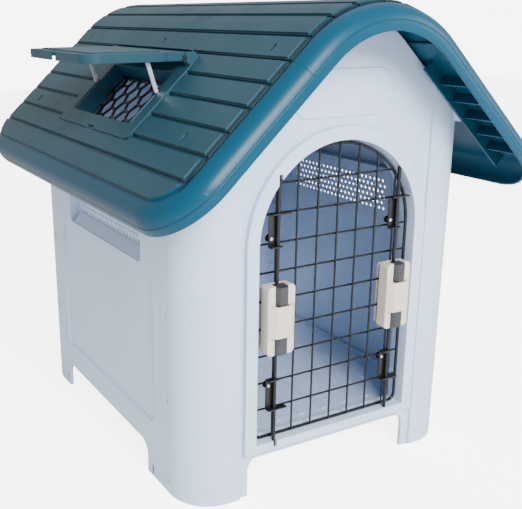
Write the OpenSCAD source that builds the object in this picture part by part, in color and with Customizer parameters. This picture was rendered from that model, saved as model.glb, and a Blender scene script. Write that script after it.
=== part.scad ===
// Plastic pet kennel: four wall panels, a floor tray, a three-piece plank-pattern roof with a
// skylight hatch, and a swinging wire door held by two squeeze latches.
// Frame: origin at the centre of the footprint on the ground, +Z up, the door faces -Y, ridge along Y.

/* [Body] */
// Width over the side walls
body_w = 465; // [400:5:560]
// Depth over the front and back walls
body_d = 560; // [460:5:680]
// Wall thickness of every panel
wall_t = 5; // [4:0.5:7]
// Outer radius of the four corner columns
column_r = 60; // [45:1:62]
// Depth of the column wrap, from the wall face to the panel seam
column_wrap = 80; // [76:1:95]
// Height of a side wall at its outer face
eave_h = 490; // [420:5:540]
// How far the middle field of a gable wall sits behind its columns
field_depth = 4; // [2:0.5:5]
// Width of a gable wall's flat column face, measured in from the side
column_face = 78; // [66:1:84]

/* [Feet] */
// Height of the gap under the front and back walls
foot_gap_front = 60; // [45:1:64]
// Height of the gap under the side walls
foot_gap_side = 46; // [36:1:50]
// Distance from the middle to a foot's inner edge, front and back
foot_in_front = 140; // [110:1:150]
// Length of the front foot along the side
foot_len_front = 132; // [110:1:150]
// Length of the rear foot along the side
foot_len_rear = 100; // [90:1:130]

/* [Doorway] */
// Radius of the doorway's arch, which is half its width
door_r = 131; // [110:1:140]
// Height of the doorway's sill
sill_z = 79; // [72:1:95]
// Height of the arch's centre
arch_z = 359; // [300:1:370]
// Width of the raised surround
surround_w = 18; // [14:1:22]
// How far the surround stands in front of the columns
surround_proud = 4; // [2:0.5:6]
// Depth of the reveal behind the columns' face
reveal_depth = 28; // [20:1:36]

/* [Roof] */
// Height of the ridge above the ground
roof_h = 660; // [600:5:720]
// Length of the roof along the ridge
roof_d = 735; // [700:5:800]
// Slope angle from the horizontal
pitch = 43; // [40:0.5:45]
// Radius of the rounded ridge
ridge_r = 155; // [130:1:170]
// Half girth, from the ridge down to the rim's outer edge
half_girth = 399.5; // [380:0.5:420]
// Half girth of the ridge piece
seam_s = 149.5; // [145:0.5:155]
// Wall thickness of the roof
roof_t = 3; // [2.5:0.1:4]
// Radius of the rolled rim
rim_r = 25; // [20:1:28]
// Depth of the rim below the roof's surface
rim_depth = 32; // [28:1:36]
// Corner radius of the roof's outline
roof_corner_r = 85; // [70:1:95]
// Distance from the rim's outer edge to the plank pads
pad_inset = 27; // [25:1:30]
// Height of the plank pads
pad_h = 4.5; // [3.5:0.5:6]
// Width of the groove between two pads
pad_groove = 4; // [3:0.5:6]
// Planks on each side of the ridge piece
ridge_planks = 4; // [4:1:4]
// Planks on a side piece
side_planks = 6; // [5:1:7]

/* [Hatch] */
// Position of the hatch's centre along the ridge
hatch_y = -13; // [-40:1:40]
// Girth at the upper edge of the hatch frame
hatch_s0 = 157.5; // [156:0.5:162]
// Length of the hatch frame down the slope
hatch_len = 150; // [140:1:160]
// Half width of the hatch frame
hatch_half_w = 130; // [120:1:140]
// Half width of the skylight opening
light_half_w = 100; // [90:1:102]
// Length of the skylight opening down the slope
light_len = 94; // [80:1:96]
// Height of the hatch frame above the slope
hatch_h = 6; // [5:0.5:8]
// Thickness of the lid
lid_t = 12; // [11:0.5:14]
// Length of the lid from its hinge to its free edge
lid_len = 148; // [144:1:150]
// Length of a stay from its pivot to its foot
stay_len = 46; // [40:0.5:46]

/* [Door] */
// Radius of the door's outer wire
frame_wire_r = 2.2; // [1.5:0.1:2.4]
// Radius of the mesh wires
mesh_wire_r = 1.4; // [1:0.05:1.5]
// Gap between the door's outer wire and the doorway
door_gap = 3; // [2:0.5:5]
// Spacing of the upright wires
upright_pitch = 33; // [30:1:36]
// Spacing of the level wires
level_pitch = 39.4; // [36:0.2:42]
// Height of the lowest level wire above the door's bottom wire
level_first = 43; // [38:1:46]

/* [Latches] */
// Distance of each bolt rod from the door's middle
rod_x = 100; // [94:0.5:101]
// Radius of a bolt rod
rod_r = 2.5; // [2.2:0.1:2.8]
// How far a rod reaches into its keeper at rest
rod_reach = 8.5; // [7:0.5:9]
// Width of a latch housing
housing_w = 42; // [40:1:43]
// Height of a latch housing
housing_h = 97; // [90:1:104]
// Height of a latch housing's middle
housing_z = 260.5; // [250:0.5:270]
// Height of a housing's full-depth middle block
grip_h = 44; // [40:1:46]
// Depth of a latch housing
housing_depth = 25; // [24:0.5:26]
// Width of a latch knob
knob_w = 19; // [17:1:20]
// Height of a latch knob
knob_h = 25; // [22:1:26]

/* [Fits] */
// Radial clearance of a running fit
run_fit = 0.08; // [0.04:0.01:0.1]
// Gap between loose neighbours
loose = 0.3; // [0.2:0.05:0.5]

/* [Hidden] */
$fn = 48;
e = 1;

// Colours of the mouldings and the wire
white_plastic = [0.84, 0.88, 0.93];
teal_plastic = [0.20, 0.42, 0.50];
black_wire = [0.06, 0.06, 0.07];
beige_plastic = [0.86, 0.82, 0.74];
grey_plastic = [0.30, 0.30, 0.33];
steel = [0.72, 0.73, 0.74];

// Roof: arc at the ridge, then a straight slope; s is the girth measured down from the ridge
arc_len = ridge_r * pitch * PI / 180;
tangent_x = ridge_r * sin(pitch);
tangent_z = roof_h - ridge_r * (1 - cos(pitch));
ridge_axis_z = roof_h - ridge_r;
half_d = roof_d / 2;
pad_half_l = half_d - pad_inset;
ridge_pitch = seam_s / ridge_planks;
side_pitch = (half_girth - pad_inset - seam_s) / side_planks;
pad_corner_r = roof_corner_r - pad_inset;
lap_len = 27;
lap_w = roof_t + loose;
slot_len = 13;
slot_w = 6.5;
seam_slot_s = seam_s - 15.5;
seam_slot_y = [-290, 0, 290];
wall_slot_s = 281;
skirt_gap = 10;
skirt_depth = 22;

// Gable walls stop this far under the roof's surface
gable_drop = 10;
gable_flange_w = 20;
half_w = body_w / 2;
front_y = -body_d / 2;
seam_y = body_d / 2 - column_wrap;
field_half_w = half_w - column_face;
field_front = front_y + field_depth;
face_back = front_y + wall_t;
flange_front = (field_front + face_back) / 2;
flange_depth = face_back + gable_flange_w - flange_front;
wall_slot_y = body_d / 2 - wall_t - gable_flange_w / 2 + 2;

// Floor tray
floor_z = foot_gap_side + 10;
floor_t = 4;
ledge_w = 12;

// Side walls: recessed field and vent pocket
side_field_depth = 2.5;
side_field_in = 25;
side_field_z = [88, 310];
vent_y = [-seam_y + 60, seam_y - 65];
vent_z = [320, 404];
vent_depth = 16;
vent_plate_t = 2.5;
vent_hole_r = 2.6;
vent_pitch = 10.5;

// Wall clips beside each seam
clip_z = [30, 155, 282, 400];
clip_h = 14;
clip_w = 8;
clip_in = column_wrap - column_r - clip_w - 1;

// Hatch
hinge_s = hatch_s0 + 8.5;
hinge_w = hatch_h + loose + lid_t / 2;
hinge_x = -slope_x(hinge_s, hinge_w);
hinge_z = slope_z(hinge_s, hinge_w);
hinge_pin_r = 2;
cheek_w = 12;
cheek_len = 18.5;
collar_t = 2;
light_s0 = hatch_s0 + 32.5;
tunnel_t = 3;
tunnel_w = -25;
grille_t = 3;
grille_web = 3.5;
grille_rim = 4;
cell_pitch_y = 24;
cell_pitch_s = 29;
lid_skin = 3;
lid_half_w = hatch_half_w - cheek_w;
lid_neck = lid_half_w - 1.3;
lid_corner_r = 24;
stay_pivot = [56, -1];
stay_pin_r = 1.5;
stay_y = 106;
stay_t = 3;
stay_r = 2.5;
stay_lean = 17.3;
groove_w = 6;
groove_depth = 2;

// Door wires: the level wires lie in the outer wire's plane, the uprights in front of them
rod_y = front_y + 1;
wire_y = rod_y + 9;
upright_y = wire_y - mesh_wire_r * 2 + 0.1;
door_half_w = door_r - door_gap - frame_wire_r;
door_bottom = sill_z + frame_wire_r + 1;
door_corner_r = 10;
level_count = 9;
arch_top_at_rod = arch_z + sqrt(pow(door_r, 2) - pow(rod_x, 2));

// Latches
housing_back = upright_y - mesh_wire_r - 0.25;
housing_front = housing_back - housing_depth;
end_step = 8;
grip_chamfer = 9;
back_plate_y = wire_y + mesh_wire_r + 0.2;
back_plate_t = 2;
knob_front = housing_front + 2;
knob_back = housing_back - 1.6;
web_t = 2;
latch_screw_r = 1.5;
screw_bite = 10;
latch_screw_x = housing_w / 2 - 5;
latch_screw_z = housing_h / 2 - 9;
spring_r = 4;

// Rod guides
guide_plate_t = 1.6;
guide_front = housing_back - guide_plate_t + 0.1;
guide_x = [-12, 4.5];
guide_h = 46;
guide_z = [358, 126];
guide_tab_t = 2;
guide_tab_out = 18;
guide_lip = rod_y - rod_r - 2.5;
rivet_x = -7.5;
rivet_up = 11;
rivet_r = 1.5;

function slope_x(s, w) = tangent_x + (s - arc_len) * cos(pitch) + w * sin(pitch);
function slope_z(s, w) = tangent_z - (s - arc_len) * sin(pitch) + w * cos(pitch);

// Places children in the right slope's frame: x is girth s, y runs along the ridge, z is outward
module on_slope() {
    translate([tangent_x, 0, tangent_z]) rotate([0, pitch, 0]) translate([-arc_len, 0, 0]) children();
}

// The same on the left slope
module on_left_slope() {
    mirror([1, 0, 0]) on_slope() children();
}

// Repeats children on both sides of the YZ plane
module both_sides() {
    children();
    mirror([1, 0, 0]) children();
}

// Repeats children on both sides of the XZ plane
module both_ends() {
    children();
    mirror([0, 1, 0]) children();
}

// Flat outline with rounded corners, centred
module rounded_rect(size, r) {
    square([size[0] - 2 * r, size[1]], center = true);
    square([size[0], size[1] - 2 * r], center = true);
    for (x = [-1, 1], y = [-1, 1])
        translate([x * (size[0] / 2 - r), y * (size[1] / 2 - r)]) circle(r);
}

// Extrudes an outline drawn in (x, z) from y0 to y1
module front_extrude(y0, y1) {
    translate([0, y1, 0]) rotate([90, 0, 0]) linear_extrude(y1 - y0) children();
}

// Extrudes an outline drawn in (y, z) from x0 to x1
module side_extrude(x0, x1) {
    translate([x0, 0, 0]) rotate([90, 0, 90]) linear_extrude(x1 - x0) children();
}

// ---------- Walls ----------

// Arch outline of the doorway grown by g
module arch_outline(g) {
    translate([0, arch_z]) circle(door_r + g);
    translate([-door_r - g, sill_z - min(g, 13)]) square([2 * (door_r + g), arch_z - sill_z + min(g, 13)]);
}

// Everything under the roof's surface less the drop, drawn in (x, z)
module gable_outline(drop) {
    translate([0, ridge_axis_z]) circle(ridge_r - drop);
    polygon([[-tangent_x + drop * sin(pitch), tangent_z - drop * cos(pitch)],
             [tangent_x - drop * sin(pitch), tangent_z - drop * cos(pitch)],
             [slope_x(half_girth, -drop), slope_z(half_girth, -drop)],
             [slope_x(half_girth, -drop), 0],
             [-slope_x(half_girth, -drop), 0],
             [-slope_x(half_girth, -drop), slope_z(half_girth, -drop)]]);
}

// Plan of a gable wall with its two wrapped columns, at the front
module gable_plan() {
    difference() {
        translate([0, front_y + body_d / 2]) rounded_rect([body_w, body_d], column_r);
        translate([0, front_y + body_d / 2])
            rounded_rect([body_w - 2 * wall_t, body_d - 2 * wall_t], column_r - wall_t);
        translate([-body_w, -seam_y]) square([2 * body_w, body_d]);
        translate([-field_half_w, front_y - e]) square([2 * field_half_w, wall_t + 2 * e]);
    }
    translate([-field_half_w - 4, field_front]) square([2 * field_half_w + 8, wall_t]);
    for (x = [-field_half_w - 4, field_half_w]) translate([x, front_y]) square([4, field_depth + wall_t]);
}

// Gap between two feet under a gable wall, drawn in (x, z)
module front_foot_gap() {
    corner = 22;
    translate([-foot_in_front, -e]) square([2 * foot_in_front, foot_gap_front - corner + e]);
    translate([-foot_in_front + corner, -e]) square([2 * (foot_in_front - corner), foot_gap_front + e]);
    for (x = [-1, 1])
        translate([x * (foot_in_front - corner), foot_gap_front - corner]) circle(corner);
}

// Raised plate in the gable's peak, drawn in (x, z)
module peak_plate() {
    translate([0, 549.5]) rounded_rect([160, 61], 25);
}

// Seats and posts that carry the roof on a gable wall's top flange
module roof_seats() {
    both_sides() on_slope() {
        translate([arc_len, flange_front, -gable_drop - wall_t])
            cube([half_girth - arc_len - 2 * rim_r - 30, flange_depth, wall_t]);
        translate([wall_slot_s - 15, flange_front, -gable_drop - e])
            cube([30, flange_depth, gable_drop - roof_t + e]);
        translate([wall_slot_s - slot_len / 2 + 2, -wall_slot_y - slot_w / 2 + loose, -gable_drop])
            cube([slot_len - 4, slot_w - 2 * loose, gable_drop - 1.5]);
    }
}

// One gable wall without its doorway
module gable_wall() {
    difference() {
        union() {
            intersection() {
                linear_extrude(roof_h) gable_plan();
                front_extrude(front_y - e, -seam_y + e) gable_outline(gable_drop);
            }
            front_extrude(field_front - 1.5, field_front + e) peak_plate();
            intersection() {
                roof_seats();
                translate([-half_w + 20, front_y, 0]) cube([body_w - 40, body_d, roof_h + 20]);
            }
            // floor ledge along the wall
            translate([-field_half_w, field_front + wall_t - e, floor_z - 6])
                cube([2 * field_half_w, ledge_w + e, 6]);
        }
        front_extrude(front_y - e, face_back + 8) front_foot_gap();
        clip_windows();
    }
}

// Windows in the columns for the wall clips
module clip_windows() {
    both_sides() for (z = clip_z)
        translate([half_w - wall_t - e, -seam_y - clip_in - clip_w - loose, z - clip_h - loose])
            cube([wall_t + 2 * e, clip_w + 2 * loose, clip_h + 2 * loose]);
}

// Keeper holes for the hinge-side rods and open notches for the free-side rods
module rod_keepers() {
    for (span = [[arch_top_at_rod - 4, arch_top_at_rod + rod_reach + 2],
                 [sill_z - rod_reach - 1.5, sill_z + 4]]) {
        translate([rod_x, rod_y, span[0]]) cylinder(r = rod_r + run_fit, h = span[1] - span[0]);
        translate([-rod_x, rod_y, span[0]]) cylinder(r = rod_r + 0.5, h = span[1] - span[0]);
        translate([-rod_x - rod_r - 0.5, rod_y - 12, span[0]])
            cube([2 * rod_r + 1, 12, span[1] - span[0]]);
    }
}

module front_panel() {
    color(white_plastic) difference() {
        union() {
            gable_wall();
            front_extrude(front_y - surround_proud, field_front + wall_t) arch_outline(surround_w);
            front_extrude(front_y, front_y + reveal_depth) arch_outline(wall_t);
        }
        front_extrude(front_y - surround_proud - e, front_y + reveal_depth + e) arch_outline(0);
        rod_keepers();
    }
}

module back_panel() {
    color(white_plastic) mirror([0, 1, 0]) gable_wall();
}

// Outline of a side wall with its feet, drawn in (y, z)
module side_outline() {
    corner = 20;
    gap0 = front_y + foot_len_front;
    gap1 = -front_y - foot_len_rear;
    difference() {
        translate([-seam_y, 0]) square([2 * seam_y, eave_h]);
        translate([gap0, -e]) square([gap1 - gap0, foot_gap_side - corner + e]);
        translate([gap0 + corner, -e]) square([gap1 - gap0 - 2 * corner, foot_gap_side + e]);
        for (y = [gap0 + corner, gap1 - corner]) translate([y, foot_gap_side - corner]) circle(corner);
        translate([gap0 - 20, 3]) square([10, 14]);
        translate([gap1 + 8, 9]) square([10, 13]);
    }
}

// Centre and size of the vent pocket, in (y, z)
vent_mid = [(vent_y[0] + vent_y[1]) / 2, (vent_z[0] + vent_z[1]) / 2];
vent_size = [vent_y[1] - vent_y[0], vent_z[1] - vent_z[0]];

// The wall on the +X side
module side_panel() {
    field_mid = (side_field_z[0] + side_field_z[1]) / 2;
    difference() {
        union() {
            side_extrude(half_w - wall_t, half_w) side_outline();
            // pocket walls around the vent
            side_extrude(half_w - vent_depth - vent_plate_t, half_w - e)
                translate(vent_mid) rounded_rect(vent_size + [6, 6], 13);
            // floor ledge
            translate([half_w - wall_t - ledge_w, -seam_y, floor_z - 6])
                cube([ledge_w + e, 2 * seam_y, 6]);
            // stiffening bead inside the top edge
            translate([half_w - wall_t - 6, -seam_y, eave_h - 22]) cube([6 + e, 2 * seam_y, 8]);
        }
        side_extrude(half_w - side_field_depth, half_w + e)
            translate([0, field_mid]) rounded_rect([2 * (seam_y - side_field_in), side_field_z[1] - side_field_z[0]], 18);
        side_extrude(half_w - vent_depth, half_w + e)
            translate(vent_mid) rounded_rect(vent_size, 10);
        side_extrude(half_w - vent_depth - vent_plate_t - e, half_w)
            translate(vent_mid) rounded_rect(vent_size - [10, 10], 6);
    }
    // sloping sill under the vent
    sill_in = half_w - vent_depth;
    translate([0, vent_y[1] - 10, 0]) rotate([90, 0, 0]) linear_extrude(vent_size[0] - 20)
        polygon([[sill_in, vent_z[0]], [half_w - 1.5, vent_z[0]], [sill_in, vent_z[0] + 16]]);
}

module side_panel_left() {
    color(white_plastic) mirror([1, 0, 0]) side_panel();
}

module side_panel_right() {
    color(white_plastic) side_panel();
}

// Perforated plate standing in the vent pocket, behind the sill
module vent_grille() {
    rows = floor((vent_size[1] - 24) / (vent_pitch * 0.87));
    columns = floor((vent_size[0] - 20) / vent_pitch);
    side_extrude(half_w - vent_depth - vent_plate_t, half_w - vent_depth) difference() {
        translate(vent_mid) rounded_rect(vent_size - [10, 10], 6);
        for (row = [0 : rows - 1], i = [0 : columns - 1 - row % 2])
            translate([vent_mid[0] + (i - (columns - 1 - row % 2) / 2) * vent_pitch,
                       vent_mid[1] + (row - (rows - 1) / 2) * vent_pitch * 0.87])
                circle(vent_hole_r);
    }
}

module vent_grille_left() {
    color(white_plastic) mirror([1, 0, 0]) vent_grille();
}

module vent_grille_right() {
    color(white_plastic) vent_grille();
}

// Spring clips that tie a side wall to both gable walls, on the +X side
module wall_clips() {
    inner = half_w - wall_t;
    both_ends() for (z = clip_z) {
        translate([inner - 3, -seam_y - clip_in - clip_w, z - clip_h])
            cube([3, clip_in + clip_w + 12, clip_h]);
        translate([inner - e, -seam_y - clip_in - clip_w, z - clip_h])
            cube([wall_t - 1 + e, clip_w, clip_h]);
    }
}

module wall_clips_left() {
    color(white_plastic) mirror([1, 0, 0]) wall_clips();
}

module wall_clips_right() {
    color(white_plastic) wall_clips();
}

module floor_panel() {
    length = body_d - 2 * (field_depth + wall_t) - 2 * loose;
    width = body_w - 2 * wall_t - 2 * loose - 7;
    color(white_plastic) translate([0, 0, floor_z]) {
        linear_extrude(floor_t) rounded_rect([width, length], column_r);
        linear_extrude(floor_t + 6) difference() {
            rounded_rect([width, length], column_r);
            rounded_rect([width - 8, length - 8], column_r - 4);
        }
        // anti-slip bars along the tray
        for (i = [-4 : 4]) translate([i * 42, 0, 0]) linear_extrude(floor_t + 1.5)
            rounded_rect([8, length - 2 * column_r], 3.9);
    }
}

// ---------- Roof ----------

// Section of the rolled rim: x runs outward from the roll's centre, y is outward from the slope
module rim_section() {
    difference() {
        union() {
            translate([0, -rim_r]) intersection() {
                circle(rim_r);
                square(rim_r);
            }
            translate([0, -rim_depth]) square([rim_r, rim_depth - rim_r]);
        }
        translate([0, -rim_r]) circle(rim_r - roof_t);
        translate([-e, -rim_depth - e]) square([rim_r - roof_t + e, rim_depth - rim_r + e]);
        // shadow line round the rim
        translate([rim_r - 1.2, -rim_depth + 12]) square([3, 1.4]);
    }
}

// Section across the whole roof length, with a rim at both ends
module roof_section() {
    flat = half_d - rim_r;
    translate([-flat, -roof_t]) square([2 * flat, roof_t]);
    translate([flat, 0]) rim_section();
    mirror([1, 0]) translate([flat, 0]) rim_section();
}

// Stretch of the roof section along the slope
module slope_run(s0, s1) {
    translate([s0, 0, 0]) rotate([90, 0, 90]) linear_extrude(s1 - s0) roof_section();
}

// Sweeps a section drawn in (y, outward) round the ridge, from angle a0 to a1 off the vertical
module ridge_sweep(a0, a1) {
    translate([0, 0, ridge_axis_z]) rotate([90, 0, 0]) rotate([0, 0, 90 - a1])
        rotate_extrude(angle = a1 - a0) translate([ridge_r, 0]) rotate(-90) children();
}

// Two-step plank pad on the slope between girths s0 and s1
module slope_pad(s0, s1) {
    half_groove = pad_groove / 2;
    translate([s0 + half_groove, -pad_half_l, -e])
        cube([s1 - s0 - pad_groove, 2 * pad_half_l, pad_h / 2 + e]);
    translate([s0 + half_groove + 1.5, -pad_half_l + 7, -e])
        cube([s1 - s0 - pad_groove - 3, 2 * pad_half_l - 14, pad_h + e]);
}

// The same round the ridge
module ridge_pad(s0, s1) {
    per_mm = 180 / (PI * ridge_r);
    half_groove = pad_groove / 2;
    ridge_sweep((s0 + half_groove) * per_mm, (s1 - half_groove) * per_mm)
        translate([-pad_half_l, -e]) square([2 * pad_half_l, pad_h / 2 + e]);
    ridge_sweep((s0 + half_groove + 1.5) * per_mm, (s1 - half_groove - 1.5) * per_mm)
        translate([-pad_half_l + 7, -e]) square([2 * pad_half_l - 14, pad_h + e]);
}

// Locking slot through the roof at girth s and position y
module roof_slot(s, y) {
    translate([s, y, -2 * rim_r]) linear_extrude(2 * rim_r + 2 * pad_h) {
        square([slot_len - slot_w, slot_w], center = true);
        for (end = [-1, 1]) translate([end * (slot_len - slot_w) / 2, 0]) circle(slot_w / 2);
    }
}

// Underside ribs across an end's overhang, and the skirt that stands in front of the wall
module overhang_ribs(s0, s1, count) {
    skirt_y = body_d / 2 + skirt_gap;
    both_ends() {
        translate([s0, skirt_y, -skirt_depth]) cube([s1 - s0, 3, skirt_depth - roof_t + 0.5]);
        for (i = [1 : count - 1])
            translate([s0 + (s1 - s0) * i / count - 1, 0, 0]) rotate([90, 0, 90]) linear_extrude(2) {
                translate([skirt_y + 2, -skirt_depth + 4])
                    square([half_d - rim_r - skirt_y - 2, skirt_depth - 4 - roof_t / 2]);
                translate([half_d - rim_r, -rim_r]) intersection() {
                    circle(rim_r - roof_t / 2);
                    translate([-e, 4 + rim_r - skirt_depth]) square(rim_r);
                }
            }
    }
}

module roof_ridge() {
    color(teal_plastic) difference() {
        union() {
            for (turn = [0, 180]) rotate([0, 0, turn]) {
                ridge_sweep(0, pitch) roof_section();
                on_slope() slope_run(arc_len, seam_s);
                for (i = [0 : ridge_planks - 2]) ridge_pad(i * ridge_pitch, (i + 1) * ridge_pitch);
                on_slope() slope_pad((ridge_planks - 1) * ridge_pitch, seam_s + pad_groove / 2 - 1);
            }
        }
        for (turn = [0, 180], y = seam_slot_y) rotate([0, 0, turn]) on_slope() roof_slot(seam_slot_s, y);
    }
}

// Outline of a side piece in the slope's plane, inset from its outer edge; it passes the seam
module side_piece_outline(inset, r) {
    translate([seam_s, 0]) intersection() {
        translate([0, -half_d]) square([half_girth, 2 * half_d]);
        rounded_rect([2 * (half_girth - seam_s - inset), 2 * (half_d - inset)], r);
    }
}

// A side piece of the roof, on the right slope
module roof_side() {
    eave = half_girth - rim_r;
    corner = roof_corner_r - rim_r;
    difference() {
        union() {
            translate([0, 0, -roof_t]) linear_extrude(roof_t)
                side_piece_outline(rim_r, corner);
            // rolled rim: the two ends, the eave and the two corners
            both_ends() translate([seam_s, half_d - rim_r, 0])
                rotate([90, 0, 90]) linear_extrude(eave - corner - seam_s) rim_section();
            translate([eave, half_d - roof_corner_r, 0])
                rotate([90, 0, 0]) linear_extrude(2 * (half_d - roof_corner_r)) rim_section();
            both_ends() translate([eave - corner, half_d - roof_corner_r, 0])
                rotate_extrude(angle = 90) translate([corner, 0]) rim_section();
            // plank pads
            intersection() {
                for (i = [0 : side_planks - 1])
                    slope_pad(seam_s + i * side_pitch, seam_s + (i + 1) * side_pitch);
                translate([0, 0, -e]) linear_extrude(2 * pad_h + e)
                    side_piece_outline(pad_inset, pad_corner_r);
            }
            // lap under the ridge piece, with its locking posts
            translate([seam_s - lap_len, -pad_half_l, -lap_w - roof_t])
                cube([lap_len + 4, 2 * pad_half_l, roof_t]);
            translate([seam_s, -pad_half_l, -lap_w - e]) cube([4, 2 * pad_half_l, lap_w + e]);
            for (y = seam_slot_y)
                translate([seam_slot_s - slot_len / 2 + 2, y - slot_w / 2 + loose, -lap_w - e])
                    cube([slot_len - 4, slot_w - 2 * loose, lap_w + e - 1.5]);
            overhang_ribs(seam_s + 6, eave - 8, side_planks);
        }
        both_ends() roof_slot(wall_slot_s, wall_slot_y);
    }
}

module roof_right() {
    color(teal_plastic) on_slope() roof_side();
}

module roof_left() {
    color(teal_plastic) on_left_slope() difference() {
        roof_side();
        // skylight hole, and the pads' cut-away for the hatch frame
        translate([light_s0 - tunnel_t, hatch_y - light_half_w - tunnel_t, -rim_depth])
            cube([light_len + 2 * tunnel_t, 2 * (light_half_w + tunnel_t), 2 * rim_depth]);
        translate([hatch_s0, hatch_y - hatch_half_w, 0])
            cube([hatch_len, 2 * hatch_half_w, 2 * pad_h]);
    }
}

// ---------- Hatch ----------

module hatch_frame() {
    light = [light_len, 2 * light_half_w];
    middle = [light_s0 + light_len / 2, 0, 0];
    color(teal_plastic) on_left_slope() translate([0, hatch_y, 0]) difference() {
        union() {
            translate([hatch_s0 + hatch_len / 2, 0, 0]) linear_extrude(hatch_h)
                rounded_rect([hatch_len, 2 * hatch_half_w], 12);
            // tunnel down through the roof, with a ledge for the grille
            translate(middle + [0, 0, tunnel_w]) linear_extrude(-tunnel_w + e)
                square(light + [2 * tunnel_t, 2 * tunnel_t], center = true);
            // collar behind the hinge, and the cheeks that hold the pin
            translate([hatch_s0, -hatch_half_w + 4, 0])
                cube([collar_t, 2 * hatch_half_w - 8, hinge_w + lid_t / 2]);
            both_ends() translate([hatch_s0, hatch_half_w - cheek_w, 0]) rotate([90, 0, 0]) mirror([0, 0, 1])
                linear_extrude(cheek_w) {
                    square([cheek_len, hinge_w]);
                    translate([cheek_len / 2, hinge_w - 3]) intersection() {
                        circle(cheek_len / 2);
                        translate([-cheek_len, 0]) square(2 * cheek_len);
                    }
                }
        }
        translate(middle + [0, 0, tunnel_w + grille_t]) linear_extrude(hatch_h - tunnel_w)
            square(light, center = true);
        translate(middle + [0, 0, tunnel_w - e]) linear_extrude(hatch_h - tunnel_w)
            square(light - [8, 8], center = true);
        // grooves that the stays' feet run in
        both_ends() translate([222, stay_y - groove_w / 2, hatch_h - groove_depth])
            cube([60, groove_w, groove_depth + e]);
        // catch notch at the lower edge
        translate([hatch_s0 + hatch_len - 5, -12, hatch_h - 3]) cube([5 + e, 24, 3 + e]);
        translate([hinge_s, 0, hinge_w]) rotate([90, 0, 0])
            cylinder(r = hinge_pin_r, h = 2 * hatch_half_w - 4, center = true);
    }
}

// Hexagon with its points along y, as wide as its column pitch allows
module grille_cell() {
    reach = cell_pitch_y * 2 / 3 - grille_web / 2;
    flat = (cell_pitch_s - grille_web) / 2;
    polygon([[0, reach], [flat, reach / 2], [flat, -reach / 2],
             [0, -reach], [-flat, -reach / 2], [-flat, reach / 2]]);
}

module hatch_grille() {
    plate = [light_len, 2 * light_half_w];
    rows = ceil(plate[0] / cell_pitch_s / 2);
    columns = ceil(plate[1] / cell_pitch_y / 2);
    color(black_wire) on_left_slope() translate([light_s0 + light_len / 2, hatch_y, tunnel_w + grille_t])
        linear_extrude(grille_t) difference() {
            square(plate, center = true);
            intersection() {
                square(plate - [2 * grille_rim, 2 * grille_rim], center = true);
                for (column = [-columns : columns], row = [-rows : rows])
                    translate([(row + (column % 2 == 0 ? 0 : 0.5)) * cell_pitch_s, column * cell_pitch_y])
                        grille_cell();
            }
        }
}

module hatch_hinge_pin() {
    color(steel) translate([hinge_x, hatch_y, hinge_z]) rotate([90, 0, 0])
        cylinder(r = hinge_pin_r, h = 2 * hatch_half_w - 4, center = true);
}

// Places children in the open lid's frame: x runs from the hinge to the free edge, z is up
module on_lid() {
    translate([hinge_x, hatch_y, hinge_z]) mirror([1, 0, 0]) children();
}

// Lid outline in (x, y), grown inward by inset: a neck between the cheeks, then full width
module lid_outline(inset) {
    neck_len = cheek_len - 6;
    translate([inset, -lid_neck + inset]) square([lid_len / 2, 2 * (lid_neck - inset)]);
    translate([neck_len + inset + (lid_len - neck_len - 2 * inset) / 2, 0])
        rounded_rect([lid_len - neck_len - 2 * inset, 2 * (lid_half_w - inset)], lid_corner_r - inset);
}

module lid_panel() {
    color(teal_plastic) on_lid() difference() {
        union() {
            difference() {
                translate([0, 0, -lid_t / 2]) linear_extrude(lid_t) lid_outline(0);
                translate([0, 0, -lid_t / 2 - e]) linear_extrude(lid_t - lid_skin + e) difference() {
                    lid_outline(3);
                    square([2 * 9, 4 * lid_half_w], center = true);
                }
            }
            rotate([90, 0, 0]) cylinder(r = lid_t / 2, h = 2 * lid_neck, center = true);
            // lugs and pins that carry the stays
            both_ends() {
                translate([stay_pivot[0] - 5, stay_y - stay_t / 2 - loose - 3, stay_pivot[1] - 3])
                    cube([10, 3, lid_t / 2 - lid_skin - stay_pivot[1] + 3 + 0.5]);
                translate([stay_pivot[0], stay_y - stay_t / 2 - loose - e, stay_pivot[1]])
                    rotate([-90, 0, 0]) cylinder(r = stay_pin_r, h = stay_t + 2 * loose + e + 1);
            }
            // raised panel on the lid's top
            translate([lid_len / 2 + 6, 0, lid_t / 2 - e]) linear_extrude(e + 1.5)
                rounded_rect([lid_len - 44, 2 * lid_half_w - 40], 10);
        }
        // finger notch at the free edge
        translate([lid_len + 5, 0, -lid_t]) cylinder(r = 12, h = 2 * lid_t);
        rotate([90, 0, 0]) cylinder(r = hinge_pin_r + run_fit, h = 4 * hatch_half_w, center = true);
    }
}

// A stay hanging from the open lid; side is 1 at the rear and -1 at the front
module stay(side) {
    color(steel) on_lid() translate([stay_pivot[0], side * stay_y, stay_pivot[1]])
        rotate([0, 90 + stay_lean, 0]) rotate([90, 0, 0]) translate([0, 0, -stay_t / 2])
            linear_extrude(stay_t) difference() {
                union() {
                    translate([0, -stay_r]) square([stay_len, 2 * stay_r]);
                    translate([stay_len, 0]) circle(stay_r);
                    circle(stay_r + 0.8);
                }
                circle(stay_pin_r + run_fit);
            }
}

module stay_front() {
    stay(-1);
}

module stay_rear() {
    stay(1);
}

// ---------- Door ----------

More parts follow.
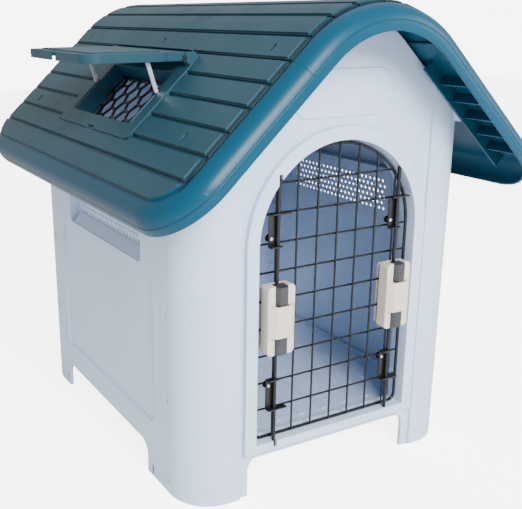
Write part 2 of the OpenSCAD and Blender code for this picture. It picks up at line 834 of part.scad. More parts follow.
module door_frame_wire() {
    color(black_wire) translate([0, wire_y, 0]) {
        translate([0, 0, arch_z]) rotate([90, 0, 0])
            rotate_extrude(angle = 180) translate([door_half_w, 0]) circle(frame_wire_r);
        both_sides() {
            translate([door_half_w, 0, door_bottom + door_corner_r])
                cylinder(r = frame_wire_r, h = arch_z - door_bottom - door_corner_r);
            translate([door_half_w - door_corner_r, 0, door_bottom + door_corner_r]) rotate([90, 0, 0])
                rotate([0, 0, -90]) rotate_extrude(angle = 90)
                    translate([door_corner_r, 0]) circle(frame_wire_r);
        }
        translate([0, 0, door_bottom]) rotate([0, 90, 0])
            cylinder(r = frame_wire_r, h = 2 * (door_half_w - door_corner_r), center = true);
    }
}

// Height of the door's arch at distance x from its middle
function door_top(x) = arch_z + sqrt(pow(door_half_w, 2) - pow(x, 2));

module door_upright_wires() {
    color(black_wire) for (i = [-3 : 3])
        translate([i * upright_pitch, upright_y, door_bottom])
            cylinder(r = mesh_wire_r, h = door_top(i * upright_pitch) - door_bottom);
}

// Half length of a level wire at height z
function level_half(z) = z < arch_z ? door_half_w : sqrt(pow(door_half_w, 2) - pow(z - arch_z, 2));

module door_level_wires() {
    color(black_wire) for (i = [0 : level_count - 1]) {
        z = door_bottom + level_first + i * level_pitch;
        translate([0, wire_y, z]) rotate([0, 90, 0])
            cylinder(r = mesh_wire_r, h = 2 * level_half(z), center = true);
    }
}

// ---------- Latches ----------

// Repeats children at a housing's four screw places, in (x, z)
module at_latch_screws() {
    for (x = [-1, 1], z = [-1, 1])
        translate([x * latch_screw_x, 0, z * latch_screw_z]) rotate([-90, 0, 0]) children();
}

// Housing with its grip block, knob channels and middle web, on the door's right rod
module latch_housing() {
    channel = knob_w + 2 * loose;
    translate([rod_x, 0, housing_z]) difference() {
        union() {
            translate([0, housing_back, 0]) rotate([90, 0, 0])
                linear_extrude(housing_depth - end_step) rounded_rect([housing_w, housing_h], 6);
            translate([0, 0, -grip_h / 2]) linear_extrude(grip_h)
                polygon([[-housing_w / 2, housing_back], [housing_w / 2, housing_back],
                         [housing_w / 2, housing_front + end_step],
                         [housing_w / 2 - grip_chamfer, housing_front],
                         [-housing_w / 2 + grip_chamfer, housing_front],
                         [-housing_w / 2, housing_front + end_step]]);
        }
        for (z = [-1, 1]) {
            translate([-channel / 2, knob_front - loose, z > 0 ? web_t / 2 : -housing_h])
                cube([channel, knob_back - knob_front + 2 * loose, housing_h - web_t / 2]);
        }
        at_latch_screws() translate([0, 0, housing_back - screw_bite]) cylinder(r = latch_screw_r, h = screw_bite + e);
    }
}

module latch_housing_left() {
    color(beige_plastic) mirror([1, 0, 0]) latch_housing();
}

module latch_housing_right() {
    color(beige_plastic) latch_housing();
}

module latch_back() {
    translate([rod_x, 0, housing_z]) difference() {
        translate([0, back_plate_y + back_plate_t, 0]) rotate([90, 0, 0])
            linear_extrude(back_plate_t) rounded_rect([housing_w - 4, housing_h - 6], 6);
        at_latch_screws() cylinder(r = latch_screw_r, h = 4 * body_d, center = true);
    }
}

module latch_back_left() {
    color(beige_plastic) mirror([1, 0, 0]) latch_back();
}

module latch_back_right() {
    color(beige_plastic) latch_back();
}

module latch_screws() {
    head_y = back_plate_y + back_plate_t;
    color(steel) both_sides() translate([rod_x, 0, housing_z]) at_latch_screws() {
        translate([0, 0, housing_back - screw_bite])
            cylinder(r = latch_screw_r, h = head_y - housing_back + screw_bite);
        translate([0, 0, head_y]) cylinder(r = 3, h = 1.5);
    }
}

// Moulded knob at the housing's upper end, on the right; the rod stands in its bore
module knob() {
    z0 = housing_z + housing_h / 2 - knob_h - 1;
    difference() {
        union() {
            translate([rod_x - knob_w / 2, knob_front + 1.5, z0]) cube([knob_w, knob_back - knob_front - 1.5, knob_h]);
            for (i = [0 : 4])
                translate([rod_x - knob_w / 2 + 2, knob_front, z0 + 2 + i * (knob_h - 4) / 5])
                    cube([knob_w - 4, 2.5, 2.4]);
        }
        translate([rod_x, rod_y, z0 + knob_h / 2]) cylinder(r = rod_r, h = knob_h);
    }
}

// Upper rod, on the right
module rod() {
    z0 = housing_z + housing_h / 2 - knob_h / 2 - 1;
    translate([rod_x, rod_y, z0]) cylinder(r = rod_r, h = arch_top_at_rod + rod_reach - z0);
}

// Mirrors children to the lower half of the latch
module flip_down() {
    translate([0, 0, 2 * housing_z]) mirror([0, 0, 1]) children();
}

// Lower rod, on the right
module rod_down() {
    z1 = housing_z - housing_h / 2 + knob_h / 2 + 1;
    translate([rod_x, rod_y, sill_z - rod_reach]) cylinder(r = rod_r, h = z1 - sill_z + rod_reach);
}

// Spring between the middle web and the upper knob, on the right
module latch_spring() {
    z0 = housing_z + web_t / 2;
    z1 = housing_z + housing_h / 2 - knob_h - 1;
    translate([rod_x, (knob_front + knob_back) / 2, z0]) difference() {
        cylinder(r = spring_r, h = z1 - z0);
        translate([0, 0, -e]) cylinder(r = spring_r - 1, h = z1 - z0 + 2 * e);
    }
}

module latch_spring_upper_left() { color(steel) mirror([1, 0, 0]) latch_spring(); }
module latch_spring_lower_left() { color(steel) mirror([1, 0, 0]) flip_down() latch_spring(); }
module latch_spring_upper_right() { color(steel) latch_spring(); }
module latch_spring_lower_right() { color(steel) flip_down() latch_spring(); }
module knob_upper_left() { color(grey_plastic) mirror([1, 0, 0]) knob(); }
module knob_lower_left() { color(grey_plastic) mirror([1, 0, 0]) flip_down() knob(); }
module knob_upper_right() { color(grey_plastic) knob(); }
module knob_lower_right() { color(grey_plastic) flip_down() knob(); }
module rod_upper_left() { color(black_wire) mirror([1, 0, 0]) rod(); }
module rod_lower_left() { color(black_wire) mirror([1, 0, 0]) rod_down(); }
module rod_upper_right() { color(black_wire) rod(); }
module rod_lower_right() { color(black_wire) rod_down(); }

// C-shaped guide: a plate behind the rod with a tab at each end that the rod runs through.
// Its origin is on the rod's axis at the plate's plain end; the wide tab is at the other end
module guide() {
    depth = guide_front + guide_plate_t - guide_lip;
    difference() {
        union() {
            translate([guide_x[0], guide_front - rod_y, 0])
                cube([guide_x[1] - guide_x[0], guide_plate_t, guide_h]);
            translate([guide_x[0], guide_lip - rod_y, 0])
                cube([guide_x[1] - guide_x[0], depth, guide_tab_t]);
            translate([guide_x[0], guide_lip - rod_y, guide_h - guide_tab_t])
                cube([guide_tab_out - guide_x[0], depth, guide_tab_t]);
        }
        translate([0, 0, -e]) cylinder(r = rod_r + run_fit, h = guide_h + 2 * e);
        translate([rivet_x, 0, rivet_up]) rotate([90, 0, 0])
            cylinder(r = rivet_r, h = 4 * guide_h, center = true);
    }
}

module at_upper_guide(side) {
    translate([side * rod_x, rod_y, guide_z[0]]) children();
}

module at_lower_guide(side) {
    translate([side * rod_x, rod_y, guide_z[1] + guide_h]) mirror([0, 0, 1]) children();
}

module guide_upper_left() { color(black_wire) at_upper_guide(-1) guide(); }
module guide_lower_left() { color(black_wire) at_lower_guide(-1) guide(); }
module guide_upper_right() { color(black_wire) at_upper_guide(1) guide(); }
module guide_lower_right() { color(black_wire) at_lower_guide(1) guide(); }

// Rivet through a guide's plate, with a washer that grips the mesh from behind
module guide_rivet() {
    washer_y = wire_y + mesh_wire_r - rod_y + 0.15;
    head_y = guide_front - rod_y;
    translate([rivet_x, 0, rivet_up]) rotate([-90, 0, 0]) {
        translate([0, 0, head_y]) cylinder(r = rivet_r, h = washer_y + 1.2 - head_y);
        translate([0, 0, head_y - 1.3]) cylinder(r = 3.2, h = 1.3);
        translate([0, 0, washer_y]) cylinder(r = 8, h = 1.2);
    }
}

module guide_rivets() {
    color(steel) for (side = [-1, 1]) {
        at_upper_guide(side) guide_rivet();
        at_lower_guide(side) guide_rivet();
    }
}

front_panel();
back_panel();
side_panel_left();
side_panel_right();
floor_panel();
vent_grille_left();
vent_grille_right();
wall_clips_left();
wall_clips_right();
roof_ridge();
roof_left();
roof_right();
hatch_frame();
hatch_grille();
hatch_hinge_pin();
lid_panel();
stay_front();
stay_rear();
door_frame_wire();
door_upright_wires();
door_level_wires();
latch_housing_left();
latch_housing_right();
latch_back_left();
latch_back_right();
latch_spring_upper_left();
latch_spring_lower_left();
latch_spring_upper_right();
latch_spring_lower_right();
latch_screws();
knob_upper_left();
knob_lower_left();
knob_upper_right();
knob_lower_right();
rod_upper_left();
rod_lower_left();
rod_upper_right();
rod_lower_right();
guide_upper_left();
guide_lower_left();
guide_upper_right();
guide_lower_right();
guide_rivets();
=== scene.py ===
"""Looks of a plastic pet kennel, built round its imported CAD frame.

The frame carries the walls, roof, hatch, wire door and latches. This script dresses every carried-over
piece in a procedural finish, and swaps the small visible hardware for finer meshes: the squeeze knobs,
latch grips, coil springs, rivets, screws and the rod guides.
"""

from __future__ import annotations

import logging
import math
from dataclasses import dataclass, field
from enum import Enum
from typing import Any, Iterable

import bmesh
import bpy
from mathutils import Matrix, Vector

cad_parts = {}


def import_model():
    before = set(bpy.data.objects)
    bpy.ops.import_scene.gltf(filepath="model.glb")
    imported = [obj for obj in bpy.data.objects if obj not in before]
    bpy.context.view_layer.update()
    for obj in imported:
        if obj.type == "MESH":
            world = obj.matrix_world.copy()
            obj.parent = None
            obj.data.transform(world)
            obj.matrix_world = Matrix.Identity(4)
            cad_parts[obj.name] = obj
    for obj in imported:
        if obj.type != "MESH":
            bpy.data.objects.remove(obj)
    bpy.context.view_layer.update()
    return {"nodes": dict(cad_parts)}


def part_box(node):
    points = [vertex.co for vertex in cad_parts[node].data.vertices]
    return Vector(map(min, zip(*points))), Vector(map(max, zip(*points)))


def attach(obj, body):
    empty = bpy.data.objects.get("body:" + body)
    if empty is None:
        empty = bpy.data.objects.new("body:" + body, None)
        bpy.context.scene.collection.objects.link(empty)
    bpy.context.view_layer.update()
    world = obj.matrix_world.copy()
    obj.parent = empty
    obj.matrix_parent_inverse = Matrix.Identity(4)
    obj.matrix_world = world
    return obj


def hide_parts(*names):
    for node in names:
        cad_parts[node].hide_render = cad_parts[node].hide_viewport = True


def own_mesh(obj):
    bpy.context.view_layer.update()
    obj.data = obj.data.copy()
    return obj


LOG = logging.getLogger("kennel")
MM = 0.001
FULL_TURN = 2 * math.pi


class Side(Enum):
    """Left or right of the door, as someone facing it sees the pieces."""

    LEFT = "left"
    RIGHT = "right"


class Level(Enum):
    """Upper or lower half of a latch."""

    UPPER = "upper"
    LOWER = "lower"


class Slot(Enum):
    """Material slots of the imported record."""

    WHITE = "white_plastic"
    TEAL = "teal_plastic"
    BLACK = "black_plastic"
    WIRE = "black_wire"
    BEIGE = "beige_plastic"
    GREY = "grey_plastic"
    STEEL = "steel"


# ---------------------------------------------------------------- shader maths


class Signal:
    """A shader socket that can be used in arithmetic."""

    def __init__(self, bench: "Bench", socket: bpy.types.NodeSocket) -> None:
        """Wraps an output socket of a bench's node tree."""
        self.bench = bench
        self.socket = socket

    def _math(self, operation: str, *values: Any) -> "Signal":
        """Adds one Math node over the given values."""
        return self.bench.add("ShaderNodeMath", {"operation": operation}, dict(enumerate(values)))

    def __add__(self, other: Any) -> "Signal":
        """Sum with a number or signal."""
        return self._math("ADD", self, other)

    def __sub__(self, other: Any) -> "Signal":
        """Difference with a number or signal."""
        return self._math("SUBTRACT", self, other)

    def __rsub__(self, other: Any) -> "Signal":
        """Difference from a number."""
        return self._math("SUBTRACT", other, self)

    def __mul__(self, other: Any) -> "Signal":
        """Product with a number or signal."""
        return self._math("MULTIPLY", self, other)

    def power(self, exponent: float) -> "Signal":
        """This signal raised to an exponent."""
        return self._math("POWER", self, exponent)

    def magnitude(self) -> "Signal":
        """Absolute value."""
        return self._math("ABSOLUTE", self)

    def ramp(self, low: float, high: float) -> "Signal":
        """Smooth rise from 0 at low to 1 at high."""
        return self.bench.add(
            "ShaderNodeMapRange",
            {"interpolation_type": "SMOOTHSTEP"},
            {"Value": self, "From Min": low, "From Max": high},
        )


class Bench:
    """A material under construction: its node tree and the nodes most finishes need."""

    def __init__(self, name: str) -> None:
        """Starts an empty node material with a Principled shader."""
        self.material = bpy.data.materials.new(name)
        self.material.use_nodes = True
        self.tree = self.material.node_tree
        self.tree.nodes.clear()
        self.shader = self.tree.nodes.new("ShaderNodeBsdfPrincipled")
        output = self.tree.nodes.new("ShaderNodeOutputMaterial")
        self.tree.links.new(self.shader.outputs["BSDF"], output.inputs["Surface"])
        self._place: Signal | None = None

    def add(
        self,
        kind: str,
        settings: dict[str, Any] | None = None,
        inputs: dict[Any, Any] | None = None,
        output: Any = 0,
    ) -> Signal:
        """Adds a node.

        Args:
            kind: The node's type.
            settings: Properties to set first.
            inputs: Values or signals by socket name or index.
            output: Name or index of the output to return.

        Returns:
            The chosen output as a signal.
        """
        node = self.tree.nodes.new(kind)
        for key, value in (settings or {}).items():
            setattr(node, key, value)
        for key, value in (inputs or {}).items():
            self.feed(node.inputs[key], value)
        return Signal(self, node.outputs[output])

    def feed(self, socket: bpy.types.NodeSocket, value: Any) -> None:
        """Links a signal into a socket, or sets its value."""
        if isinstance(value, Signal):
            self.tree.links.new(value.socket, socket)
        elif isinstance(value, tuple) and len(value) == 3 and socket.type == "RGBA":
            socket.default_value = (*value, 1)
        else:
            socket.default_value = value

    def set(self, **sockets: Any) -> None:
        """Feeds the Principled shader; names use underscores for spaces."""
        for name, value in sockets.items():
            self.feed(self.shader.inputs[name.replace("_", " ")], value)

    @property
    def place(self) -> Signal:
        """Object coordinates, in metres."""
        if self._place is None:
            self._place = self.add("ShaderNodeTexCoord", output="Object")
        return self._place

    def axes(self) -> tuple[Signal, Signal, Signal]:
        """The object coordinates as three signals."""
        node = self.tree.nodes.new("ShaderNodeSeparateXYZ")
        self.feed(node.inputs[0], self.place)
        return tuple(Signal(self, node.outputs[i]) for i in range(3))

    def noise(
        self, scale: float, detail: float = 3, stretch: tuple[float, float, float] = (1, 1, 1)
    ) -> Signal:
        """Fractal noise over the object.

        Args:
            scale: Cells per metre.
            detail: Octaves.
            stretch: Scale along each axis, for grain or streaks.

        Returns:
            The noise factor.
        """
        where = self.add(
            "ShaderNodeMapping", {"vector_type": "POINT"}, {"Vector": self.place, "Scale": stretch}
        )
        return self.add(
            "ShaderNodeTexNoise", {}, {"Vector": where, "Scale": scale, "Detail": detail, "Roughness": 0.55}
        )

    def cells(self, scale: float) -> Signal:
        """Distance to the nearest cell centre, for moulded grain."""
        return self.add("ShaderNodeTexVoronoi", {}, {"Vector": self.place, "Scale": scale}, "Distance")

    def mix(self, factor: Any, first: Any, second: Any) -> Signal:
        """Blends two colours by a factor."""
        node = self.tree.nodes.new("ShaderNodeMix")
        node.data_type = "RGBA"
        colours = [s for s in node.inputs if s.type == "RGBA"]
        self.feed(node.inputs[0], factor)
        self.feed(colours[0], first)
        self.feed(colours[1], second)
        return Signal(self, [s for s in node.outputs if s.type == "RGBA"][0])

    def relief(self, height: Signal, depth: float, edge: float = 0.0) -> Signal:
        """Bump from a height signal, over softened edges.

        Args:
            height: Height from 0 to 1.
            depth: Height of a full step, in metres.
            edge: Radius of the softened edges, in metres; 0 leaves them sharp.

        Returns:
            A normal.
        """
        inputs: dict[Any, Any] = {"Height": height, "Distance": depth, "Strength": 1.0}
        if edge > 0:
            inputs["Normal"] = self.add("ShaderNodeBevel", {"samples": 6}, {"Radius": edge})
        return self.add("ShaderNodeBump", {}, inputs)


# ---------------------------------------------------------------- finishes


@dataclass(frozen=True)
class WhiteMoulding:
    """Satin blow-moulded wall plastic, faintly blue, with flow mottling and scuffed feet."""

    colour: tuple[float, float, float] = (0.56, 0.68, 0.88)
    shade: tuple[float, float, float] = (0.50, 0.63, 0.85)
    dust: tuple[float, float, float] = (0.52, 0.53, 0.54)
    roughness: float = 0.36
    edge: float = 1.8 * MM
    dust_height: float = 0.05

    def build(self) -> bpy.types.Material:
        """Makes the material."""
        bench = Bench("wall plastic")
        _, _, height = bench.axes()
        cloud = bench.noise(5, 4).ramp(0.35, 0.7)
        streak = bench.noise(26, 4, (1, 1, 0.12)).ramp(0.45, 0.75)
        colour = bench.mix(cloud * 0.7 + streak * 0.3, self.colour, self.shade)
        scuff = (1 - height.ramp(0.0, self.dust_height)) * bench.noise(70, 5).ramp(0.4, 0.72)
        colour = bench.mix(scuff * 0.35, colour, self.dust)
        grain = bench.noise(1400, 2) * 0.5 + bench.noise(160, 3) * 0.5
        bench.set(
            Base_Color=colour,
            Roughness=streak * 0.06 + scuff * 0.25 + self.roughness,
            Normal=bench.relief(grain, 0.06 * MM, self.edge),
            Specular_IOR_Level=0.45,
            Subsurface_Weight=0.0,
        )
        return bench.material


@dataclass(frozen=True)
class RoofMoulding:
    """Teal roof plastic: dusty grained planks with painted shade at their ends, and a smooth,
    deeper-coloured rolled rim.
    """

    plank: tuple[float, float, float] = (0.011, 0.050, 0.074)
    plank_light: tuple[float, float, float] = (0.022, 0.070, 0.096)
    rim: tuple[float, float, float] = (0.002, 0.054, 0.100)
    # Near-black painted shade for the pads' ends, and how fully it covers there.
    painted_end_shade: tuple[float, float, float] = (0.001, 0.008, 0.013)
    painted_end_shade_cover: float = 0.85
    edge: float = 1.8 * MM
    ridge_radius: float = 0.155
    pitch: float = math.radians(43)
    pad_height: float = 4.5 * MM
    end_inset: float = 27 * MM

    def rise(self, bench: Bench, top: float) -> Signal:
        """Height above the roof's smooth surface.

        Args:
            bench: Material under construction.
            top: Height of the ridge's smooth surface.

        Returns:
            The distance outward from that surface, in metres.
        """
        x, _, z = bench.axes()
        across = x.magnitude()
        up = z - (top - self.ridge_radius)
        radial = (across * across + up * up).power(0.5)
        slope = across * math.sin(self.pitch) + up * math.cos(self.pitch)
        on_slope = (across - self.ridge_radius * math.sin(self.pitch)).ramp(-0.002, 0.002)
        return on_slope * (slope - radial) + radial - self.ridge_radius

    def build(self, top: float, half_length: float) -> bpy.types.Material:
        """Makes the material.

        Args:
            top: Height of the ridge's smooth surface.
            half_length: Half the roof's length.

        Returns:
            The material.
        """
        bench = Bench("roof plastic")
        _, y, _ = bench.axes()
        rise = self.rise(bench, top)
        raised = rise.ramp(0.6 * MM, 2.4 * MM)
        pad_end = half_length - self.end_inset
        inside = 1 - y.magnitude().ramp(pad_end - 6 * MM, pad_end + 4 * MM)
        cloud = bench.noise(4, 4).ramp(0.3, 0.72)
        grain = bench.noise(120, 5, (1, 0.07, 1))
        speck = bench.noise(900, 2)
        plank = bench.mix(cloud * 0.6 + grain * 0.25, self.plank, self.plank_light)
        field_mask = raised * 0.75 + inside * 0.25
        dust = bench.noise(18, 5).ramp(0.5, 0.8) * field_mask
        # Painted shade: the pads' side walls close to their front and back ends are darkened towards a
        # near-black colour, standing in for the shade in the deep channel there.
        flank = rise.ramp(-0.8 * MM, -0.2 * MM) * (1 - rise.ramp(2.6 * MM, 4.0 * MM))
        past_end = (y.magnitude() - pad_end).magnitude()
        painted_end_shade = flank * (1 - past_end.ramp(1.5 * MM, 4.5 * MM)) * self.painted_end_shade_cover
        colour = bench.mix(painted_end_shade, bench.mix(field_mask, self.rim, plank), self.painted_end_shade)
        bench.set(
            Base_Color=colour,
            Roughness=field_mask * 0.09 + dust * 0.08 + speck * 0.05 + 0.31,
            Normal=bench.relief(grain * raised * 0.5 + speck * 0.35, 0.10 * MM, self.edge),
            Specular_IOR_Level=0.2,
        )
        return bench.material


@dataclass(frozen=True)
class GrainedPlastic:
    """Small moulded parts with an eroded-mould grain and brighter rubbed patches."""

    name: str
    colour: tuple[float, float, float]
    rubbed: tuple[float, float, float]
    roughness: float = 0.45
    edge: float = 0.5 * MM
    grain: float = 2600

    def build(self) -> bpy.types.Material:
        """Makes the material."""
        bench = Bench(self.name)
        wear = bench.noise(90, 4).ramp(0.48, 0.78)
        grain = bench.cells(self.grain)
        bench.set(
            Base_Color=bench.mix(wear * 0.55, self.colour, self.rubbed),
            Roughness=wear * -0.08 + grain * 0.06 + self.roughness,
            Normal=bench.relief(grain, 0.03 * MM, self.edge),
        )
        return bench.material


@dataclass(frozen=True)
class CoatedWire:
    """Black dip-coated steel wire: glossy, with soft runs in the coat."""

    colour: tuple[float, float, float] = (0.003, 0.0032, 0.004)
    worn: tuple[float, float, float] = (0.009, 0.0095, 0.011)

    def build(self) -> bpy.types.Material:
        """Makes the material."""
        bench = Bench("coated wire")
        runs = bench.noise(60, 4, (1, 1, 0.3))
        worn = bench.noise(220, 3).ramp(0.6, 0.85)
        bench.set(
            Base_Color=bench.mix(worn, self.colour, self.worn),
            Roughness=runs * 0.18 + 0.20,
            Normal=bench.relief(runs, 0.12 * MM),
            Specular_IOR_Level=0.32,
            Coat_Weight=0.15,
        )
        return bench.material


@dataclass(frozen=True)
class PlatedSteel:
    """Bright zinc-plated steel with drawn lines and dull blooms."""

    colour: tuple[float, float, float] = (0.58, 0.59, 0.60)
    bloom: tuple[float, float, float] = (0.44, 0.45, 0.44)

    def build(self) -> bpy.types.Material:
        """Makes the material."""
        bench = Bench("plated steel")
        bloom = bench.noise(140, 4).ramp(0.45, 0.8)
        drawn = bench.noise(900, 2, (1, 1, 0.08))
        bench.set(
            Base_Color=bench.mix(bloom, self.colour, self.bloom),
            Metallic=1.0,
            Roughness=bloom * 0.18 + drawn * 0.08 + 0.46,
            Normal=bench.relief(drawn, 0.02 * MM),
        )
        return bench.material


class Palette:
    """Every finish of the kennel, built once and handed out by slot."""

    def __init__(self, ridge_top: float, roof_half_length: float) -> None:
        """Builds the seven materials."""
        beige = GrainedPlastic("latch plastic", (0.66, 0.60, 0.50), (0.74, 0.69, 0.60), 0.40, 0.7 * MM)
        grey = GrainedPlastic("knob plastic", (0.034, 0.035, 0.041), (0.062, 0.063, 0.070), 0.44)
        black = GrainedPlastic(
            "guide plastic", (0.004, 0.0042, 0.005), (0.009, 0.0095, 0.011), 0.32, 0.4 * MM
        )
        self.materials: dict[Slot, bpy.types.Material] = {
            Slot.WHITE: WhiteMoulding().build(),
            Slot.TEAL: RoofMoulding().build(ridge_top, roof_half_length),
            Slot.BLACK: black.build(),
            Slot.WIRE: CoatedWire().build(),
            Slot.BEIGE: beige.build(),
            Slot.GREY: grey.build(),
            Slot.STEEL: PlatedSteel().build(),
        }

    def dress(self, piece: bpy.types.Object, slot: Slot) -> None:
        """Puts one finish on a piece."""
        piece.data.materials.clear()
        piece.data.materials.append(self.materials[slot])


# ---------------------------------------------------------------- mesh helpers


def publish(bm: bmesh.types.BMesh, name: str, smooth_angle: float = 35) -> bpy.types.Object:
    """Turns a bmesh into a finished object at the origin.

    Args:
        bm: The mesh, already in place; it is freed.
        name: Name of the piece.
        smooth_angle: Edges sharper than this many degrees stay sharp.

    Returns:
        The linked object.
    """
    bmesh.ops.remove_doubles(bm, verts=bm.verts, dist=1e-6)
    bmesh.ops.recalc_face_normals(bm, faces=bm.faces)
    mesh = bpy.data.meshes.new(name)
    bm.to_mesh(mesh)
    bm.free()
    mesh.shade_smooth()
    mesh.set_sharp_from_angle(angle=math.radians(smooth_angle))
    piece = bpy.data.objects.new(name, mesh)
    bpy.context.scene.collection.objects.link(piece)
    return piece


def install(
    piece: bpy.types.Object, body: str, slot: Slot, palette: Palette, nodes: Iterable[str] = ()
) -> bpy.types.Object:
    """Dresses a piece and hangs it on its body.

    Args:
        piece: The finished piece.
        body: CAD body that carries it.
        slot: Its material slot.
        palette: The kennel's finishes.
        nodes: CAD nodes that the piece stands for.

    Returns:
        The piece.
    """
    palette.dress(piece, slot)
    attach(piece, body)
    if nodes:
        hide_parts(*nodes)
    LOG.info("piece %s rides on %s: %d faces", piece.name, body, len(piece.data.polygons))
    return piece


def coil(
    bm: bmesh.types.BMesh,
    radius: float,
    wire: float,
    height: float,
    turns: float,
    place: Vector,
    ring: int = 10,
) -> None:
    """Spins a round wire into a vertical coil.

    Args:
        bm: Mesh to add to.
        radius: Radius of the coil's centreline.
        wire: Radius of the wire.
        height: Length of the coil along Z.
        turns: Number of turns.
        place: Middle of the coil's lower end.
        ring: Sides of the wire.
    """
    made = bmesh.ops.create_circle(bm, cap_ends=True, radius=wire, segments=ring)["verts"]
    bmesh.ops.rotate(bm, verts=made, cent=(0, 0, 0), matrix=Matrix.Rotation(math.pi / 2, 3, "X"))
    bmesh.ops.translate(bm, verts=made, vec=(radius, 0, wire))
    steps = int(24 * turns)
    faces = list({f for v in made for f in v.link_faces})
    geometry = made + list({e for v in made for e in v.link_edges}) + faces
    rise = (height - 2 * wire) / steps
    spun = bmesh.ops.spin(
        bm, geom=geometry, cent=(0, 0, 0), axis=(0, 0, 1), dvec=(0, 0, rise),
        angle=FULL_TURN * turns, steps=steps, use_duplicate=False, use_merge=False,
    )
    assert spun["geom_last"]
    bmesh.ops.translate(bm, verts=bm.verts, vec=place)


def dome(bm: bmesh.types.BMesh, radius: float, height: float, place: Vector, forward: bool = True) -> None:
    """Adds a shallow domed head that faces -Y, or +Y at the back.

    Args:
        bm: Mesh to add to.
        radius: Radius of the head.
        height: Height of the dome.
        place: Middle of the head's seat.
        forward: True for a head that faces -Y.
    """
    made = bmesh.ops.create_uvsphere(bm, u_segments=24, v_segments=12, radius=radius)["verts"]
    bmesh.ops.rotate(bm, verts=made, cent=(0, 0, 0), matrix=Matrix.Rotation(math.pi / 2, 3, "X"))
    edges = list({e for v in made for e in v.link_edges})
    faces = list({f for v in made for f in v.link_faces})
    geometry = made + edges + faces
    sign = -1 if forward else 1
    cut = bmesh.ops.bisect_plane(
        bm, geom=geometry, plane_co=(0, 0, 0), plane_no=(0, -sign, 0), clear_outer=True, dist=1e-7
    )
    rim = [g for g in cut["geom_cut"] if isinstance(g, bmesh.types.BMEdge)]
    bmesh.ops.holes_fill(bm, edges=rim, sides=0)
    section = [g for g in cut["geom_cut"] if isinstance(g, bmesh.types.BMVert)]
    kept = list({*(v for v in made if v.is_valid), *section})
    bmesh.ops.scale(bm, vec=(1, height / radius, 1), verts=kept)
    bmesh.ops.translate(bm, vec=place, verts=kept)


def rod(
    bm: bmesh.types.BMesh, radius: float, start: Vector, length: float, segments: int = 20
) -> None:
    """Adds a capped cylinder from a start point along +Y."""
    made = bmesh.ops.create_cone(
        bm, cap_ends=True, segments=segments, radius1=radius, radius2=radius, depth=length
    )["verts"]
    bmesh.ops.rotate(bm, verts=made, cent=(0, 0, 0), matrix=Matrix.Rotation(-math.pi / 2, 3, "X"))
    bmesh.ops.translate(bm, verts=made, vec=start + Vector((0, length / 2, 0)))


def softened_copy(
    node: str, name: str, width: float, segments: int = 3, angle: float = 28
) -> bpy.types.Object:
    """Copies a CAD node's mesh and rounds its edges.

    Args:
        node: CAD node to copy.
        name: Name of the new piece.
        width: Edge radius.
        segments: Segments round an edge.
        angle: Edges flatter than this many degrees stay as they are.

    Returns:
        The new piece, with a live Bevel modifier.
    """
    bm = bmesh.new()
    bm.from_mesh(bpy.data.objects[node].data)
    bmesh.ops.remove_doubles(bm, verts=bm.verts, dist=2e-6)
    bmesh.ops.dissolve_limit(bm, angle_limit=math.radians(0.6), verts=bm.verts, edges=bm.edges)
    piece = publish(bm, name, angle)
    bevel = piece.modifiers.new("edges", "BEVEL")
    bevel.width = width
    bevel.segments = segments
    bevel.limit_method = "ANGLE"
    bevel.angle_limit = math.radians(angle)
    bevel.harden_normals = True
    bevel.use_clamp_overlap = True
    return piece


# ---------------------------------------------------------------- sub-assemblies


@dataclass
class Shell:
    """Walls, floor, vents and roof: CAD mouldings that take their finish as they are."""

    white: tuple[str, ...] = (
        "front_panel", "back_panel", "side_panel_left", "side_panel_right", "floor_panel",
        "vent_grille_left", "vent_grille_right", "wall_clips_left", "wall_clips_right",
    )
    teal: tuple[str, ...] = ("roof_ridge", "roof_left", "roof_right", "hatch_frame", "lid_panel")
    plain: dict[str, Slot] = field(
        default_factory=lambda: {
            "hatch_grille": Slot.BLACK, "hatch_hinge_pin": Slot.STEEL,
            "stay_front": Slot.STEEL, "stay_rear": Slot.STEEL,
        }
    )

    def dress(self, nodes: dict[str, bpy.types.Object], palette: Palette) -> None:
        """Gives every shell piece its finish.

        Args:
            nodes: The frame's CAD nodes.
            palette: The kennel's finishes.
        """
        slots = {name: Slot.WHITE for name in self.white}
        slots.update({name: Slot.TEAL for name in self.teal})
        slots.update(self.plain)
        for name, slot in slots.items():
            palette.dress(nodes[name], slot)
            LOG.info("node %s takes %s", name, slot.value)


